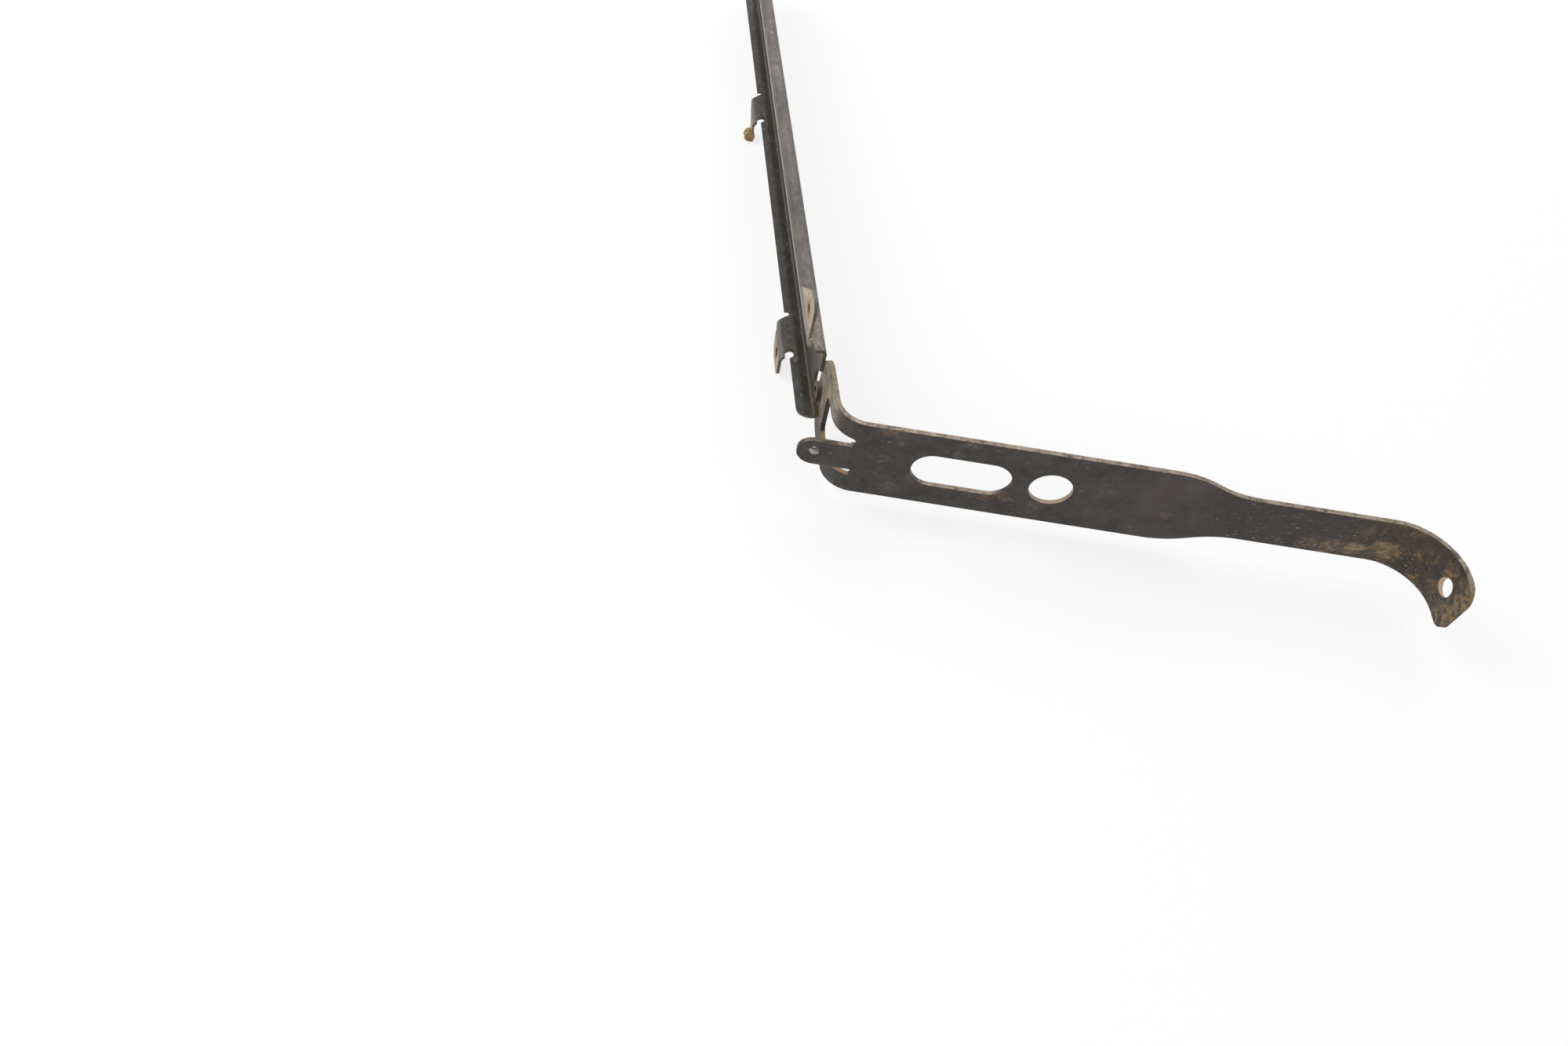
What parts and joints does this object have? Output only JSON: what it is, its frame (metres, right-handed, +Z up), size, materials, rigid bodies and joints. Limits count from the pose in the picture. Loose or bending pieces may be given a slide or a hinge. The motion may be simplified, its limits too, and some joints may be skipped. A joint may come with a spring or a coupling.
{
  "type": "cargo box strap bracket",
  "caption": "Pressed steel strap bracket: a slotted arm with a curved hook at one end and a leaning channel rail with strap tabs at the other",
  "frame": {"origin": "centre of the arm's round hole, on the arm's front face", "axes": "+X along the arm from the tongue to the hook, +Y into the arm's front face, roughly the way the rail runs, +Z up"},
  "size_m": [0.3926, 0.5033, 0.0701],
  "materials": {
    "arm_steel": "weathered, dull and dark, with rust in the hook",
    "rail_steel": "weathered, dull, greyish tan"
  },
  "bodies": {
    "root": {"arm_plate": "arm_steel", "strap_rail": "rail_steel"}
  },
  "joints": []
}
